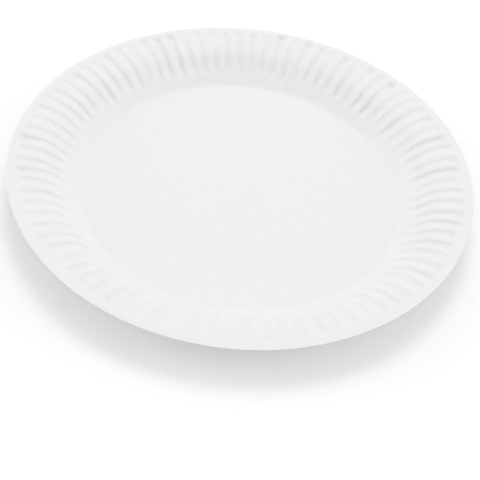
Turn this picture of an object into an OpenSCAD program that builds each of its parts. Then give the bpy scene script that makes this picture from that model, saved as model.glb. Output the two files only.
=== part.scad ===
// Paper plate: one disc of thin white board, pressed into a shallow dish.
// The flat floor turns up into a short wall, the wall bends over at a shoulder
// into a broad and gently curved crown, and the crown ends in a plain lip. The
// board that is left over as the disc is drawn in is gathered into flutes:
// round ridges with slightly narrower grooves between them, from low on the
// wall to the lip.
// The origin is the middle of the underside, where the plate stands. +Z is up.

/* [Plate] */
// Diameter over the lip
plate_d = 180; // [150:1:300]
// Height of the lip's upper edge above the table
plate_h = 13; // [12:0.5:24]
// Thickness of the board
board_t = 0.35; // [0.25:0.05:0.8]

/* [Section] */
// Radius of the bend at the foot of the wall, on the food side
foot_r = 4; // [3:0.5:7]
// Slope of the wall from the table, in degrees
wall_slope = 40; // [34:1:46]
// Radius of the shoulder at the top of the wall, over its upper face
shoulder_r = 11; // [6:0.5:14]
// Slope at which the shoulder passes into the crown, in degrees
shoulder_slope = 20; // [14:1:24]
// Radius of the crown, over its upper face
crown_r = 40; // [30:1:50]
// Slope at which the lip still rises, in degrees
lip_slope = 5; // [0:0.5:8]
// Width of the plain lip outside the flutes
lip_w = 3; // [1:0.25:6]

/* [Flutes] */
// Number of flutes round the rim
flute_n = 86; // [48:2:98]
// Share of the wall that stays plain below the flutes
plain_share = 0.3; // [0.1:0.05:0.6]
// Share of the wall over which a groove then runs in
run_in_share = 0.25; // [0.1:0.05:0.3]
// Depth of a groove below its two ridges, where the crown meets the lip
flute_depth = 1; // [0.3:0.05:1.5]
// Length over which a groove runs out at the lip
runout_l = 1.5; // [0.75:0.25:3]
// Shape across a flute: 2 is a plain wave, less makes ridges broad and grooves narrow
ridge_shape = 1; // [0.6:0.1:2]

/* [Hidden] */

board_colour = [0.95, 0.95, 0.96];

// The section is drawn along the middle of the board's thickness.
half_t = board_t / 2;
foot_mid_r = foot_r + half_t;
shoulder_mid_r = shoulder_r - half_t;
crown_mid_r = crown_r - half_t;

// Rise and run of each stretch of the section
foot_rise = foot_mid_r * (1 - cos(wall_slope));
shoulder_rise = shoulder_mid_r * (cos(shoulder_slope) - cos(wall_slope));
crown_rise = crown_mid_r * (cos(lip_slope) - cos(shoulder_slope));
lip_rise = lip_w * sin(lip_slope);
edge_z = plate_h - half_t * cos(lip_slope);
crown_start_z = edge_z - lip_rise - crown_rise;
wall_rise = crown_start_z - shoulder_rise - foot_rise - half_t;
wall_l = wall_rise / sin(wall_slope);

edge_r = plate_d / 2 - half_t * sin(lip_slope);
lip_start_r = edge_r - lip_w * cos(lip_slope);
crown_start_r = lip_start_r - crown_mid_r * (sin(shoulder_slope) - sin(lip_slope));
shoulder_start_r = crown_start_r - shoulder_mid_r * (sin(wall_slope) - sin(shoulder_slope));
foot_end_r = shoulder_start_r - wall_l * cos(wall_slope);
floor_r = foot_end_r - foot_mid_r * sin(wall_slope);

// Length of board from the middle of the floor to where each bend begins and ends
foot_end_l = floor_r + arc_length(foot_mid_r, wall_slope);
shoulder_start_l = foot_end_l + wall_l;
crown_start_l = shoulder_start_l + arc_length(shoulder_mid_r, wall_slope - shoulder_slope);
lip_start_l = crown_start_l + arc_length(crown_mid_r, shoulder_slope - lip_slope);
runout_slope = lip_slope + runout_l / arc_length(crown_mid_r, 1);

// Steps of the three bends
foot_steps = 2;
shoulder_steps = 1;
crown_steps = 2;

// Places of the points across one flute, as shares of its pitch: groove,
// flank, ridge, flank. A ring without grooves keeps every other point.
flute_places = [0, 0.2, 0.5, 0.8];
ring_n = flute_n * len(flute_places);
plain_n = ring_n / 2;

function arc_length(radius, angle) = radius * angle * PI / 180;

// One station of the section: its radius, its height, the slope of the board,
// and the length of board between it and the middle of the floor
function foot_station(slope) = [
    floor_r + foot_mid_r * sin(slope),
    half_t + foot_mid_r * (1 - cos(slope)),
    slope,
    floor_r + arc_length(foot_mid_r, slope)
];

function wall_station(share) = [
    foot_end_r + share * wall_l * cos(wall_slope),
    half_t + foot_rise + share * wall_rise,
    wall_slope,
    foot_end_l + share * wall_l
];

function shoulder_station(slope) = [
    crown_start_r - shoulder_mid_r * (sin(slope) - sin(shoulder_slope)),
    crown_start_z - shoulder_mid_r * (cos(shoulder_slope) - cos(slope)),
    slope,
    shoulder_start_l + arc_length(shoulder_mid_r, wall_slope - slope)
];

function crown_station(slope) = [
    lip_start_r - crown_mid_r * (sin(slope) - sin(lip_slope)),
    edge_z - lip_rise - crown_mid_r * (cos(lip_slope) - cos(slope)),
    slope,
    crown_start_l + arc_length(crown_mid_r, shoulder_slope - slope)
];

edge_station = [edge_r, edge_z, lip_slope, lip_start_l + lip_w];

// Stations without grooves: round the foot's bend and up to where the flutes
// start, and again along the lip
inner_stations = [
    for (i = [0:foot_steps]) foot_station(wall_slope * i / foot_steps),
    wall_station(plain_share)
];
lip_stations = [crown_station(lip_slope), edge_station];

// Stations with grooves: on the wall, over the shoulder and along the crown
fluted_stations = [
    wall_station(plain_share + run_in_share),
    for (i = [0:shoulder_steps])
        shoulder_station(wall_slope + (shoulder_slope - wall_slope) * i / shoulder_steps),
    for (i = [1:crown_steps])
        crown_station(shoulder_slope + (runout_slope - shoulder_slope) * i / crown_steps)
];
stations = concat(inner_stations, fluted_stations, lip_stations);
inner_rings = len(inner_stations);
fluted_rings = len(fluted_stations);
last = len(stations) - 1;

// Board that a station has to spare round its circle, as a share of the circle
function spare_board(station) = station[3] / station[0] - 1;

full_spare = spare_board(crown_station(runout_slope));

// Depth of the grooves at a station that has them. The gathered length of a
// shallow wave goes with the square of its depth, so the depth follows the root
// of the board to spare.
function groove_depth(station) = flute_depth * sqrt(spare_board(station) / full_spare);

// Height of the board across a flute, from -1 in the groove to 0 on the ridge
function flute_wave(place) = pow(abs(sin(180 * place)), ridge_shape) - 1;

// Point of a station that is lifted off the section, along the board's normal
function lifted_point(station, lift, angle) =
    let (r = station[0] - lift * sin(station[2]))
    [r * cos(angle), r * sin(angle), station[1] + lift * cos(station[2])];

// All points of one station round the plate, on one face of the board: side is
// 1 for the food side and -1 for the back.
function ring(station, side, is_plain) = [
    for (flute = [0:flute_n - 1], i = [0:is_plain ? 2 : 1:len(flute_places) - 1])
        let (place = flute_places[i])
        let (fall = is_plain ? 0 : groove_depth(station) * flute_wave(place))
        lifted_point(station, side * half_t + fall, (flute + place) * 360 / flute_n)
];

function is_plain(i) = i < inner_rings || i >= inner_rings + fluted_rings;

function face_points(side) = [for (i = [0:last]) each ring(stations[i], side, is_plain(i))];

// Index of a ring's first point in its face
function ring_start(i) =
    i * plain_n + max(0, min(i - inner_rings, fluted_rings)) * (ring_n - plain_n);
face_n = ring_start(last) + plain_n;

// Index of the point of ring i that lies at or just past step j of a fluted ring
function point_index(i, j) =
    ring_start(i) + (is_plain(i) ? floor((j + 1) / 2) % plain_n : j % ring_n);

// Triangles of the band between ring i and the next, as seen from above. Where
// one of the two rings is plain, the triangles that shrink to a line are left out.
function band(i) = [
    for (j = [0:ring_n - 1])
        let (
            inner = point_index(i, j),
            inner_next = point_index(i, j + 1),
            outer = point_index(i + 1, j),
            outer_next = point_index(i + 1, j + 1)
        )
        each [
            if (outer != outer_next) [inner, outer_next, outer],
            if (inner != inner_next) [inner, inner_next, outer_next]
        ]
];

floor_face = [for (j = [plain_n - 1:-1:0]) j];
upper_faces = concat([floor_face], [for (i = [0:last - 1]) each band(i)]);

// The back has the same faces, turned over, and its points come second.
function turned(face) = [for (k = [len(face) - 1:-1:0]) face[k] + face_n];
back_faces = [for (face = upper_faces) turned(face)];

// The cut edge joins the outermost rings of the two faces.
edge_faces = [
    for (j = [0:plain_n - 1])
        let (
            a = ring_start(last) + j,
            b = ring_start(last) + (j + 1) % plain_n
        )
        each [[a, b, b + face_n], [a, b + face_n, a + face_n]]
];

// The whole plate, as one closed skin round the board
module plate() {
    color(board_colour)
        polyhedron(
            points = concat(face_points(1), face_points(-1)),
            faces = concat(upper_faces, back_faces, edge_faces),
            convexity = 6
        );
}

plate();
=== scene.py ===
"""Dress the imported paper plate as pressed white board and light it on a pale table.

The plate is one disc of thin board. Its finished form is a surface of two
parameters: the distance along the board from the middle of the floor, and the
place round the rim. Sizes are in millimetres and become metres in the meshes.
"""
import logging
import math
from dataclasses import dataclass, field
from enum import Enum, IntEnum
from typing import Any

import bpy
import numpy as np
from mathutils import Matrix, Vector


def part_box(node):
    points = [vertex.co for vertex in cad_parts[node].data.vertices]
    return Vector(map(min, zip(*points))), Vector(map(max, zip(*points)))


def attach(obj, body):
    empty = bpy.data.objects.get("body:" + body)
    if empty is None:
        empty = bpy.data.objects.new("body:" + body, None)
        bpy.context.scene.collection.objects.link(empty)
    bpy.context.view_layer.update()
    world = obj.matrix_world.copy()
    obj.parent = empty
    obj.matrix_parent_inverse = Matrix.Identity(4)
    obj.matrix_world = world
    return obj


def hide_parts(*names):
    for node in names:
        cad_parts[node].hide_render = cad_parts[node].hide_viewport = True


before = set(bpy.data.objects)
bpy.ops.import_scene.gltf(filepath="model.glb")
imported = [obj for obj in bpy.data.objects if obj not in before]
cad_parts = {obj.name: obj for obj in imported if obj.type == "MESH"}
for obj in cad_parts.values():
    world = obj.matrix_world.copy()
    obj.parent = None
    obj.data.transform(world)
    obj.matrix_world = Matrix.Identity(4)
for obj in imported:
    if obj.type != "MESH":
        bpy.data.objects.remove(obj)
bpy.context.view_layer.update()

MM = 0.001
BODY = "root"
NODE = "plate"
WHITE = (1.0, 1.0, 1.0, 1.0)
BOARD_IOR = 1.5

# Places of a mix node's colour sockets, whose names the node's other sockets have too
MIX_A = 6
MIX_B = 7
MIX_RESULT = 2

log = logging.getLogger("paper_plate")


class Side(Enum):
    """The two faces of the board. The value says which way the face lies from the board's middle."""

    FOOD = 1.0
    BACK = -1.0


class Finish(Enum):
    """Material index of each stretch of the plate's skin."""

    PRESSED = 0
    CUT = 1


class Bend(IntEnum):
    """Ends of the section's stretches, counted from the middle of the floor."""

    FLOOR_END = 1
    FOOT_END = 2
    WALL_END = 3
    SHOULDER_END = 4
    LIP_START = 5
    EDGE = 6


def linear(hex_colour: str) -> tuple[float, float, float, float]:
    """Turn an sRGB hex colour into linear red, green, blue and alpha.

    Each channel goes through the sRGB curve: a straight line near black, and a power of 2.4 above it.

    Args:
        hex_colour: Six hex digits after a hash sign.

    Returns:
        The linear colour, with an alpha of one.
    """
    digits = hex_colour.lstrip("#")
    channels = [int(digits[i:i + 2], 16) / 255 for i in (0, 2, 4)]
    bent = [c / 12.92 if c <= 0.04045 else ((c + 0.055) / 1.055) ** 2.4 for c in channels]
    return (bent[0], bent[1], bent[2], 1.0)


def blank_material(name: str) -> bpy.types.Material:
    """Make a material with an empty node tree.

    Args:
        name: The material's name.

    Returns:
        The new material.
    """
    material = bpy.data.materials.new(name)
    material.use_nodes = True
    material.node_tree.nodes.clear()
    return material


def add_node(
    tree: bpy.types.NodeTree,
    kind: str,
    settings: dict[str, Any] | None = None,
    inputs: dict[str | int, Any] | None = None,
) -> bpy.types.Node:
    """Add a shader node with its settings, its input values and its links.

    Args:
        tree: Node tree that the node goes into.
        kind: Blender's name of the node type.
        settings: Properties of the node itself.
        inputs: Input sockets by name or index. A socket as the value is linked, anything else is set.

    Returns:
        The new node.
    """
    node = tree.nodes.new(kind)
    for name, value in (settings or {}).items():
        setattr(node, name, value)
    for key, value in (inputs or {}).items():
        if isinstance(value, bpy.types.NodeSocket):
            tree.links.new(value, node.inputs[key])
        else:
            node.inputs[key].default_value = value
    return node


def direct_rays(tree: bpy.types.NodeTree) -> bpy.types.NodeSocket:
    """Tell the rays that come from the lens, off a mirror or through glass from all others.

    Args:
        tree: Node tree that needs to know.

    Returns:
        One for those rays and nought for the others, as the highest of Blender's three marks.
    """
    path = add_node(tree, "ShaderNodeLightPath")
    seen = path.outputs["Is Camera Ray"]
    for mark in ("Is Glossy Ray", "Is Transmission Ray"):
        seen = add_node(
            tree, "ShaderNodeMath", {"operation": "MAXIMUM"}, {0: seen, 1: path.outputs[mark]}
        ).outputs["Value"]
    return seen


def smooth_step(x: np.ndarray) -> np.ndarray:
    """Rise from nought to one over the unit interval, as three x squared less two x cubed."""
    t = np.clip(x, 0.0, 1.0)
    return t * t * (3.0 - 2.0 * t)


@dataclass(frozen=True)
class PressedBoard:
    """Uncoated white paperboard, pressed hot between steel dies.

    Bleached fibres felted into a sheet: matt, very white, faintly cool, cloudy where the fibres lie
    thicker, and a little smoother where the die has ironed the bottoms of the grooves. The bottoms of the
    grooves are also painted a shade darker: painted shade in the grooves.
    """

    name: str = "pressed_board"
    sheet: str = "#F3F2F4"
    cloud: str = "#F2F1F3"
    # painted shade: a darker colour laid into the bottoms of the grooves, on top of their real shading
    groove_painted_shade: str = "#F1F0F2"
    cloud_mm: float = 3.2
    cloud_low: float = 0.38
    cloud_high: float = 0.66
    fibre_mm: float = 0.9  # real fibres are about 0.03 mm thick, drawn coarser so that they show
    fibre_stretch: float = 6.0
    fibre_turns: tuple[float, float] = (0.4, 2.1)
    felt_mm: float = 0.45
    relief_mm: float = 0.004
    matt: float = 0.82
    ironed: float = 0.62

    def build(self) -> bpy.types.Material:
        """Make the node material.

        Returns:
            The material, reading Object coordinates and the groove attribute.
        """
        material = blank_material(self.name)
        tree = material.node_tree
        place = add_node(tree, "ShaderNodeTexCoord").outputs["Object"]
        groove = add_node(tree, "ShaderNodeAttribute", {"attribute_name": "groove"}).outputs["Fac"]

        clouds = add_node(
            tree, "ShaderNodeTexNoise", {"noise_dimensions": "3D"},
            {"Vector": place, "Scale": 1 / (self.cloud_mm * MM), "Detail": 3.0, "Roughness": 0.55},
        ).outputs["Fac"]
        cloud_share = add_node(
            tree, "ShaderNodeMapRange", {"interpolation_type": "SMOOTHSTEP"},
            {"Value": clouds, "From Min": self.cloud_low, "From Max": self.cloud_high},
        ).outputs["Result"]

        fibres = self._fibres(tree, place)
        felt = add_node(
            tree, "ShaderNodeTexNoise", {"noise_dimensions": "3D"},
            {"Vector": place, "Scale": 1 / (self.felt_mm * MM), "Detail": 2.0, "Roughness": 0.6},
        ).outputs["Fac"]

        tint = add_node(
            tree, "ShaderNodeMix", {"data_type": "RGBA"},
            {"Factor": cloud_share, MIX_A: linear(self.sheet), MIX_B: linear(self.cloud)},
        ).outputs[MIX_RESULT]
        # Painted shade: the groove attribute mixes a darker colour into the bottoms of the grooves.
        tint = add_node(
            tree, "ShaderNodeMix", {"data_type": "RGBA"},
            {"Factor": groove, MIX_A: tint, MIX_B: linear(self.groove_painted_shade)},
        ).outputs[MIX_RESULT]

        gloss = add_node(
            tree, "ShaderNodeMapRange", None,
            {"Value": groove, "To Min": self.matt, "To Max": self.ironed},
        ).outputs["Result"]

        relief = add_node(
            tree, "ShaderNodeMath", {"operation": "ADD"}, {0: fibres, 1: felt}
        ).outputs["Value"]
        bump = add_node(
            tree, "ShaderNodeBump", None,
            {"Strength": 1.0, "Distance": self.relief_mm * MM, "Height": relief},
        ).outputs["Normal"]

        shader = add_node(
            tree, "ShaderNodeBsdfPrincipled", None,
            {"Base Color": tint, "Roughness": gloss, "IOR": BOARD_IOR, "Normal": bump},
        )
        add_node(tree, "ShaderNodeOutputMaterial", None, {"Surface": shader.outputs["BSDF"]})
        return material

    def _fibres(self, tree: bpy.types.NodeTree, place: bpy.types.NodeSocket) -> bpy.types.NodeSocket:
        """Lay two crossing sets of stretched noise, each a set of strokes along its own direction.

        Args:
            tree: Node tree of the material.
            place: Object coordinates.

        Returns:
            The higher of the two sets, from nought to one.
        """
        stretch = (1.0, 1.0 / self.fibre_stretch, 1.0)
        sets = []
        for turn in self.fibre_turns:
            turned = add_node(
                tree, "ShaderNodeMapping", None,
                {"Vector": place, "Rotation": (0.0, 0.0, turn), "Scale": stretch},
            ).outputs["Vector"]
            strokes = add_node(
                tree, "ShaderNodeTexNoise", {"noise_dimensions": "3D"},
                {"Vector": turned, "Scale": 1 / (self.fibre_mm * MM), "Detail": 1.0, "Distortion": 0.6},
            ).outputs["Fac"]
            sets.append(strokes)
        return add_node(
            tree, "ShaderNodeMath", {"operation": "MAXIMUM"}, {0: sets[0], 1: sets[1]}
        ).outputs["Value"]


@dataclass(frozen=True)
class CutBoard:
    """The die-cut edge of the board: torn fibre ends, rougher, warmer and a shade darker than the faces."""

    name: str = "cut_board"
    core: str = "#E6E4E2"
    shade: str = "#D9D7D6"
    fibre_mm: float = 0.25
    relief_mm: float = 0.03
    matt: float = 0.92

    def build(self) -> bpy.types.Material:
        """Make the node material.

        Returns:
            The material, reading Object coordinates.
        """
        material = blank_material(self.name)
        tree = material.node_tree
        place = add_node(tree, "ShaderNodeTexCoord").outputs["Object"]
        ends = add_node(
            tree, "ShaderNodeTexNoise", {"noise_dimensions": "3D"},
            {"Vector": place, "Scale": 1 / (self.fibre_mm * MM), "Detail": 2.0},
        ).outputs["Fac"]
        tint = add_node(
            tree, "ShaderNodeMix", {"data_type": "RGBA"},
            {"Factor": ends, MIX_A: linear(self.core), MIX_B: linear(self.shade)},
        ).outputs[MIX_RESULT]
        bump = add_node(
            tree, "ShaderNodeBump", None,
            {"Strength": 1.0, "Distance": self.relief_mm * MM, "Height": ends},
        ).outputs["Normal"]
        shader = add_node(
            tree, "ShaderNodeBsdfPrincipled", None,
            {"Base Color": tint, "Roughness": self.matt, "IOR": BOARD_IOR, "Normal": bump},
        )
        add_node(tree, "ShaderNodeOutputMaterial", None, {"Surface": shader.outputs["BSDF"]})
        return material


@dataclass
class PlateSection:
    """Section of the board, from the middle of the floor to the cut edge, halfway through the board.

    The slope of the board is a broken line over its length: nought on the floor, rising evenly round the
    foot, steady up the wall, falling evenly and fast over the shoulder, evenly and slowly over the crown,
    and steady again along the lip. The radius is the running sum of the slope's cosine, and the height the
    running sum of its sine.
    """

    radius: float
    height: float
    board: float = 0.35
    foot: float = 4.0
    wall_slope: float = math.radians(40)
    shoulder: float = 11.0
    shoulder_slope: float = math.radians(20)
    crown: float = 40.0
    lip_slope: float = math.radians(5)
    lip: float = 3.0
    ring_counts: tuple[int, ...] = (3, 5, 11, 5, 12, 4)
    trace_points: int = 20001
    lengths: list[float] = field(init=False)

    def __post_init__(self) -> None:
        """Work out the lengths of the floor and the wall that bring the lip to its radius and height."""
        half = self.board / 2
        foot, shoulder, crown = self.foot + half, self.shoulder - half, self.crown - half
        sin_wall, cos_wall = math.sin(self.wall_slope), math.cos(self.wall_slope)
        sin_bend, cos_bend = math.sin(self.shoulder_slope), math.cos(self.shoulder_slope)
        sin_lip, cos_lip = math.sin(self.lip_slope), math.cos(self.lip_slope)
        bends_rise = foot * (1 - cos_wall) + shoulder * (cos_bend - cos_wall) + crown * (cos_lip - cos_bend)
        bends_run = foot * sin_wall + shoulder * (sin_wall - sin_bend) + crown * (sin_bend - sin_lip)
        wall = (self.height - half * cos_lip - half - self.lip * sin_lip - bends_rise) / sin_wall
        floor = self.radius - half * sin_lip - self.lip * cos_lip - bends_run - wall * cos_wall
        self.lengths = [
            floor,
            foot * self.wall_slope,
            wall,
            shoulder * (self.wall_slope - self.shoulder_slope),
            crown * (self.shoulder_slope - self.lip_slope),
            self.lip,
        ]

    @property
    def bends(self) -> np.ndarray:
        """Distances along the board at which its stretches start and end, from the middle outwards."""
        return np.concatenate([[0.0], np.cumsum(self.lengths)])

    def slope(self, length: np.ndarray) -> np.ndarray:
        """Slope of the board, in radians, at each distance along it."""
        wall, shoulder, lip = self.wall_slope, self.shoulder_slope, self.lip_slope
        return np.interp(length, self.bends, [0.0, 0.0, wall, wall, shoulder, lip, lip])

    def trace(self, length: np.ndarray) -> tuple[np.ndarray, np.ndarray]:
        """Follow the section.

        Args:
            length: Distances along the board.

        Returns:
            Radius and height at each distance.
        """
        fine = np.linspace(0.0, self.bends[-1], self.trace_points)
        step = fine[1]
        middle = self.slope(fine[:-1] + step / 2)
        radius = np.concatenate([[0.0], np.cumsum(np.cos(middle))]) * step
        height = np.concatenate([[0.0], np.cumsum(np.sin(middle))]) * step + self.board / 2
        return np.interp(length, fine, radius), np.interp(length, fine, height)

    def rings(self) -> np.ndarray:
        """Space the rings of points evenly over each stretch, and closer where the board bends.

        Returns:
            Distance along the board of each ring, without the middle of the floor.
        """
        ends = self.bends
        stretches = [
            np.linspace(start, end, count, endpoint=False)
            for start, end, count in zip(ends, ends[1:], self.ring_counts)
        ]
        return np.concatenate([*stretches, ends[-1:]])[1:]


@dataclass
class Flutes:
    """The gathers round the rim: broad grooves, slightly narrower ridges and steep flanks between them.

    Across a flute the board falls below its ridges by a share of the groove's depth: the hyperbolic tangent
    of the steepness times the sum of a bias and the cosine of a turn for each pitch, stretched to run from
    nought to one. Along a flute the depth follows the root of the spare board, because the length that a
    shallow wave gathers goes with the square of its depth, and it swells and wanes a little. Close to the
    lip, where most board is gathered, many grooves are also nipped into a short fold. The disc lay a
    little off the middle of the die, so the plain lip is wider and the grooves are shallower at the front
    than at the back.

    Lengths are in millimetres, but the nip's place is in lengths of the nip. A groove's shift, lean and
    bow are shares of the pitch.
    """

    count: int = 86
    depth: float = 0.86
    steepness: float = 1.9
    groove_bias: float = 0.1
    uneven: float = 0.1
    deepest: float = math.radians(80)
    off_centre: float = 1.1
    narrow_side: float = math.radians(95)
    plain_share: float = 0.2
    start: float = 5.6
    runout: float = 1.6
    nip_width: float = 0.35
    nip_length: float = 1.2
    nip_place: float = 1.5
    columns_each: int = 14

    seed: int = 18
    shift_spread: float = 0.06
    strength_spread: float = 0.22
    weakest: float = 0.5
    strongest: float = 1.45
    start_spread: float = 0.5
    end_spread: float = 0.35
    lean_spread: float = 0.05
    nip_mean: float = 0.08
    nip_spread: float = 0.16
    nip_most: float = 0.4
    swell_most: float = 0.4
    bow_spread: float = 0.03

    def __post_init__(self) -> None:
        """Draw what makes each groove a little different from the next."""
        rng = np.random.default_rng(self.seed)
        turn = self.pitch * np.arange(self.count)
        self.shift = rng.normal(0.0, self.shift_spread, self.count)
        strength = rng.normal(1.0, self.strength_spread, self.count)
        self.strength = np.clip(strength, self.weakest, self.strongest)
        self.strength *= 1 + self.uneven * np.cos(turn - self.deepest)
        self.start_shift = rng.normal(0.0, self.start_spread, self.count)
        self.end_shift = rng.normal(0.0, self.end_spread, self.count)
        self.end_shift += self.off_centre * np.cos(turn - self.narrow_side)
        self.lean = rng.normal(0.0, self.lean_spread, self.count)
        self.nip = np.clip(rng.normal(self.nip_mean, self.nip_spread, self.count), 0.0, self.nip_most)
        self.swell = rng.uniform(0.0, self.swell_most, self.count)
        self.swell_start = rng.uniform(0.0, 2 * math.pi, self.count)
        self.bow = rng.normal(0.0, self.bow_spread, self.count)

    @property
    def pitch(self) -> float:
        """Angle from one groove to the next, if all were even."""
        return 2 * math.pi / self.count

    def columns(self) -> tuple[np.ndarray, np.ndarray]:
        """Place and nearest groove of every column of points round the plate.

        Returns:
            Running place, where whole numbers are grooves, and the index of the nearest groove.
        """
        place = np.arange(self.count * self.columns_each) / self.columns_each
        return place, np.rint(place).astype(int) % self.count

    def angle(self, place: np.ndarray, along: np.ndarray) -> np.ndarray:
        """Angle round the plate of each place, for each ring.

        Between two grooves the angle goes evenly from the one's own angle to the other's. A groove's own
        angle is the pitch times the sum of its number, its shift, its lean times the share of the rim
        crossed less a half, and its bow times the sine of a full turn times that share.

        Args:
            place: Running place of each column.
            along: Share of the rim crossed at each ring, from nought at the foot to one at the cut edge.

        Returns:
            Angles, one row for each ring and one column for each place.
        """
        low = np.floor(place).astype(int) % self.count
        high = (low + 1) % self.count
        share = place - np.floor(place)
        shift = self.shift[low] * (1 - share) + self.shift[high] * share
        lean = self.lean[low] * (1 - share) + self.lean[high] * share
        bow = self.bow[low] * (1 - share) + self.bow[high] * share
        crossed = along[:, None]
        return self.pitch * (place + shift + lean * (crossed - 0.5) + bow * np.sin(2 * math.pi * crossed))

    def wave(self, place: np.ndarray) -> np.ndarray:
        """Work out the board's form across a flute.

        Args:
            place: Running place, where whole numbers are grooves.

        Returns:
            Share of the groove's depth at each place: one in the groove and nought on the ridge.
        """
        level = np.tanh(self.steepness * (self.groove_bias + np.cos(2 * math.pi * place)))
        low = math.tanh(self.steepness * (self.groove_bias - 1))
        high = math.tanh(self.steepness * (self.groove_bias + 1))
        return (level - low) / (high - low)

    def fall(self, section: PlateSection, length: np.ndarray) -> tuple[np.ndarray, np.ndarray]:
        """Work out how far the board lies below its ridges.

        The share of the full depth is the growth towards the lip, times a smooth start and a smooth end,
        times the swell, the groove's own strength and the form across a flute. The fall is the depth times
        that share, plus the nip: the groove's own nip times a bell across the groove, a bell along it just
        inside the lip, and the smooth end.

        Args:
            section: The plate's section.
            length: Distance along the board of each ring.

        Returns:
            The fall in millimetres and its share of the full depth, one row for each ring and one column
            for each place.
        """
        place, nearest = self.columns()
        ends = section.bends
        foot_end, wall_end, lip_start = ends[Bend.FOOT_END], ends[Bend.WALL_END], ends[Bend.LIP_START]
        flute_start = foot_end + self.plain_share * (wall_end - foot_end)
        radius, _ = section.trace(length)
        full_radius, _ = section.trace(np.array([lip_start - self.runout]))
        spare = np.maximum(length / np.maximum(radius, 1.0) - 1, 0.0)
        full = (lip_start - self.runout) / full_radius[0] - 1
        growth = np.sqrt(np.minimum(spare / full, 1.0))[:, None]
        start = smooth_step((length[:, None] - flute_start - self.start_shift[nearest]) / self.start)
        ahead = lip_start + self.end_shift[nearest] - length[:, None]
        end = smooth_step(ahead / self.runout)
        crossed = ((length - foot_end) / (ends[Bend.EDGE] - foot_end))[:, None]
        swell = 1 + self.swell[nearest] * np.sin(2 * math.pi * crossed + self.swell_start[nearest])
        share = growth * start * end * swell * self.strength[nearest] * self.wave(place)
        nipped = np.exp(-((ahead / self.nip_length - self.nip_place) ** 2))
        narrow = self.nip[nearest] * np.exp(-((np.sin(math.pi * place) / self.nip_width) ** 2))
        return self.depth * share + end * nipped * narrow, share


@dataclass
class FlutedPlate:
    """The pressed plate: one closed skin round the board, in place of the plain solid."""

    section: PlateSection
    flutes: Flutes
    warp: float = 0.12
    warp_turn: float = 0.7
    belly: float = 0.10
    sharp: float = math.radians(50)
    name: str = "pressed_plate"

    def middle(self) -> tuple[np.ndarray, np.ndarray]:
        """Middle surface of the board.

        A point starts on the section and is turned round the axis by its column's angle. It is then moved
        along the section's normal, down by the groove's fall there. Last come two slow swells: at two
        places round the plate the lip sinks by twice the warp, and the floor's middle lifts by the belly.

        Returns:
            Points in millimetres and the share of the full depth, one row for each ring and one column for
            each place.
        """
        length = self.section.rings()
        radius, height = self.section.trace(length)
        slope = self.section.slope(length)
        fall, share = self.flutes.fall(self.section, length)
        ends = self.section.bends
        floor_end, edge = ends[Bend.FLOOR_END], ends[Bend.EDGE]
        along = np.clip((length - floor_end) / (edge - floor_end), 0.0, 1.0)
        place, _ = self.flutes.columns()
        angle = self.flutes.angle(place, along)
        out = radius[:, None] + fall * np.sin(slope)[:, None]
        up = height[:, None] - fall * np.cos(slope)[:, None]
        up += self.warp * along[:, None] ** 2 * (np.sin(2 * angle + self.warp_turn) - 1.0)
        inside = np.clip(1 - length / floor_end, 0.0, 1.0)
        up += self.belly * smooth_step(inside)[:, None]
        return np.stack([out * np.cos(angle), out * np.sin(angle), up], axis=-1), share

    def normals(self, middle: np.ndarray) -> np.ndarray:
        """Work out the board's normals, as the cross product of the surface's two directions.

        Args:
            middle: Points of the middle surface.

        Returns:
            Unit normals that point up, one for each point.
        """
        outward = np.gradient(middle, axis=0)
        around = np.roll(middle, -1, axis=1) - np.roll(middle, 1, axis=1)
        normal = np.cross(outward, around)
        return normal / np.linalg.norm(normal, axis=-1, keepdims=True)

    def build(self) -> bpy.types.Object:
        """Make the mesh: the two faces of the board, a point in the middle of each, and the cut edge.

        Returns:
            The plate's object, with its place in its mesh.
        """
        middle, share = self.middle()
        normal = self.normals(middle)
        rings, columns = share.shape
        half = self.section.board / 2
        skins = [middle + side.value * half * normal for side in Side]
        poles = [[0.0, 0.0, skin[0, :, 2].mean()] for skin in skins]
        points = np.concatenate([*[skin.reshape(-1, 3) for skin in skins], np.array(poles)]) * MM
        groove = np.concatenate([share.ravel(), share.ravel(), [0.0, 0.0]])

        step = np.arange(columns)
        ahead = (step + 1) % columns
        ring = np.arange(rings - 1)[:, None] * columns
        corners = [ring + step, ring + columns + step, ring + columns + ahead, ring + ahead]
        upper = np.stack([corner.ravel() for corner in corners], axis=-1)
        skin_size = rings * columns
        lower = upper[:, ::-1] + skin_size
        rim = (rings - 1) * columns
        edge = np.stack([rim + step, rim + step + skin_size, rim + ahead + skin_size, rim + ahead], axis=-1)
        quads = np.concatenate([upper, lower, edge])
        pole = np.full(columns, 2 * skin_size)
        upper_pole = np.stack([pole, step, ahead], axis=-1)
        lower_pole = np.stack([pole + 1, ahead + skin_size, step + skin_size], axis=-1)
        triangles = np.concatenate([upper_pole, lower_pole])

        mesh = bpy.data.meshes.new(self.name)
        mesh.from_pydata(points.tolist(), [], quads.tolist() + triangles.tolist())
        attribute = mesh.attributes.new("groove", "FLOAT", "POINT")
        attribute.data.foreach_set("value", groove.astype(np.float32))
        finish = np.full(len(mesh.polygons), Finish.PRESSED.value, dtype=np.int32)
        finish[len(upper) + len(lower):len(quads)] = Finish.CUT.value
        mesh.polygons.foreach_set("material_index", finish)
        mesh.polygons.foreach_set("use_smooth", np.ones(len(mesh.polygons), dtype=bool))
        mesh.set_sharp_from_angle(angle=self.sharp)
        mesh.update()
        plate = bpy.data.objects.new(self.name, mesh)
        bpy.context.collection.objects.link(plate)
        return plate

    def dress(self, plate: bpy.types.Object) -> None:
        """Give the plate its two finishes and put it in the place of the plain solid.

        Args:
            plate: The plate's object.
        """
        for finish in (PressedBoard(), CutBoard()):  # in the order of Finish
            plate.data.materials.append(finish.build())
        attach(plate, BODY)
        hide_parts(NODE)


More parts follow.
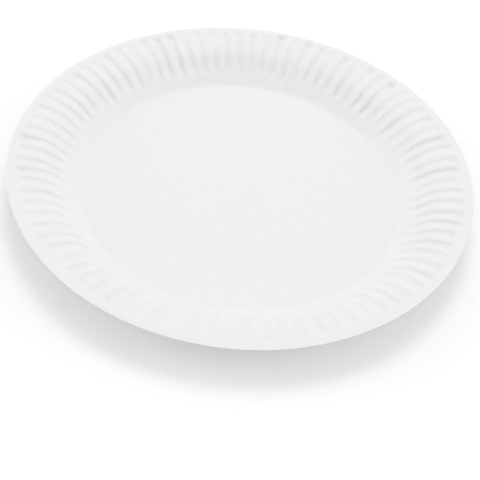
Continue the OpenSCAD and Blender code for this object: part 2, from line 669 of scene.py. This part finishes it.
@dataclass(frozen=True)
class TableTop:
    """Smooth white painted table: plain to the lens, with the plate's soft shadow on it.

    Lit parts reach full white to the lens, so that table and backdrop are one. The far table, which the
    lamps don't reach, has more light of its own for that. All other rays see a plain pale surface.
    """

    name: str = "white_table"
    paint: str = "#F4F4F5"
    near_gain: float = 0.16
    far_gain: float = 0.46
    near_mm: float = 150.0
    far_mm: float = 900.0
    half_width_mm: float = 3000.0
    gap_mm: float = 0.05

    def build(self) -> bpy.types.Object:
        """Make the table as one square face, a hair under the plate so that the two don't share a plane.

        Returns:
            The table.
        """
        w, z = self.half_width_mm * MM, -self.gap_mm * MM
        mesh = bpy.data.meshes.new(self.name)
        mesh.from_pydata([(-w, -w, z), (w, -w, z), (w, w, z), (-w, w, z)], [], [(0, 1, 2, 3)])
        mesh.materials.append(self._paint())
        table = bpy.data.objects.new(self.name, mesh)
        bpy.context.collection.objects.link(table)
        return table

    def _paint(self) -> bpy.types.Material:
        """Make matt white paint, with a little light of its own for direct rays.

        Returns:
            The table's material, reading Object coordinates.
        """
        material = blank_material(self.name)
        tree = material.node_tree
        paint = add_node(
            tree, "ShaderNodeBsdfDiffuse", None, {"Color": linear(self.paint)}
        ).outputs["BSDF"]
        place = add_node(tree, "ShaderNodeTexCoord").outputs["Object"]
        reach = add_node(
            tree, "ShaderNodeVectorMath", {"operation": "LENGTH"}, {0: place}
        ).outputs["Value"]
        gain = add_node(
            tree, "ShaderNodeMapRange", {"interpolation_type": "SMOOTHSTEP"},
            {
                "Value": reach,
                "From Min": self.near_mm * MM,
                "From Max": self.far_mm * MM,
                "To Min": self.near_gain,
                "To Max": self.far_gain,
            },
        ).outputs["Result"]
        strength = add_node(
            tree, "ShaderNodeMath", {"operation": "MULTIPLY"}, {0: direct_rays(tree), 1: gain}
        ).outputs["Value"]
        glow = add_node(
            tree, "ShaderNodeEmission", None, {"Color": WHITE, "Strength": strength}
        ).outputs["Emission"]
        both = add_node(tree, "ShaderNodeAddShader", None, {0: paint, 1: glow}).outputs["Shader"]
        add_node(tree, "ShaderNodeOutputMaterial", None, {"Surface": both})
        return material


@dataclass(frozen=True)
class Softbox:
    """A square soft lamp that looks at the plate. Its place and its width are in metres."""

    name: str
    place: tuple[float, float, float]
    width: float
    watts: float

    def build(self) -> bpy.types.Object:
        """Hang the lamp and turn it to the plate.

        Returns:
            The lamp's object.
        """
        data = bpy.data.lights.new(self.name, "AREA")
        data.shape = "SQUARE"
        data.size = self.width
        data.energy = self.watts
        lamp = bpy.data.objects.new(self.name, data)
        lamp.location = self.place
        lamp.rotation_euler = (-Vector(self.place)).to_track_quat("-Z", "Y").to_euler()
        bpy.context.collection.objects.link(lamp)
        return lamp


@dataclass(frozen=True)
class Studio:
    """A white tent: an even surround, a soft lamp high behind the plate and a low one on either side."""

    surround: float = 0.703
    lamps: tuple[Softbox, ...] = (
        Softbox("back_window", (0.0, 0.66, 1.22), 0.6, 4.2),
        Softbox("left_window", (-1.2, 0.0, 0.5), 0.6, 2.0),
        Softbox("right_window", (1.2, 0.0, 0.5), 0.6, 2.0),
    )

    def build(self) -> None:
        """Light the world and hang the lamps."""
        world = bpy.data.worlds.new("tent")
        bpy.context.scene.world = world
        world.use_nodes = True
        tree = world.node_tree
        tree.nodes.clear()
        strength = add_node(
            tree, "ShaderNodeMapRange", None,
            {"Value": direct_rays(tree), "To Min": self.surround, "To Max": 1.0},
        ).outputs["Result"]
        light = add_node(
            tree, "ShaderNodeBackground", None, {"Color": WHITE, "Strength": strength}
        ).outputs["Background"]
        add_node(tree, "ShaderNodeOutputWorld", None, {"Surface": light})
        for lamp in self.lamps:
            lamp.build()


@dataclass(frozen=True)
class ProductCamera:
    """The photograph's camera, worked out from the outline of the lip, 180 mm across.

    It looks at a point on the plane of the lip, from the front and above, and is rolled a little. Its
    lengths are in millimetres, apart from the two clips, which are in metres.
    """

    lens: float = 75.0
    sensor: float = 36.0
    distance: float = 360.0
    elevation: float = math.radians(46.52)
    roll: float = math.radians(-7.14)
    aim: tuple[float, float] = (2.47, -41.0)
    clip_start: float = 0.01
    clip_end: float = 50.0

    def build(self, rim_height: float) -> bpy.types.Object:
        """Set the camera up and make it the scene's.

        Args:
            rim_height: Height of the lip above the table, in millimetres.

        Returns:
            The camera's object.
        """
        data = bpy.data.cameras.new("product_camera")
        data.lens, data.sensor_width = self.lens, self.sensor
        data.clip_start, data.clip_end = self.clip_start, self.clip_end
        back = Vector((0.0, -math.cos(self.elevation), math.sin(self.elevation)))
        right = Vector((1.0, 0.0, 0.0))
        up = back.cross(right)
        across = right * math.cos(self.roll) - up * math.sin(self.roll)
        upward = right * math.sin(self.roll) + up * math.cos(self.roll)
        turn = Matrix((across, upward, back)).transposed()
        camera = bpy.data.objects.new("product_camera", data)
        target = Vector((self.aim[0], self.aim[1], rim_height))
        camera.matrix_world = Matrix.Translation((target + back * self.distance) * MM) @ turn.to_4x4()
        bpy.context.collection.objects.link(camera)
        bpy.context.scene.camera = camera
        return camera


def main() -> None:
    """Build the plate, its table, its light and its camera."""
    logging.basicConfig(level=logging.INFO, format="%(name)s: %(message)s")
    low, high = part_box(NODE)
    section = PlateSection(radius=(high[0] - low[0]) / 2 / MM, height=high[2] / MM)
    plate = FlutedPlate(section, Flutes())
    piece = plate.build()
    plate.dress(piece)
    log.info("%s: %d points, %d faces", piece.name, len(piece.data.vertices), len(piece.data.polygons))
    table = TableTop().build()
    log.info("%s: stage", table.name)
    Studio().build()
    ProductCamera().build(rim_height=section.height)
    bpy.context.scene.view_settings.view_transform = "Standard"


if __name__ == "__main__":
    main()
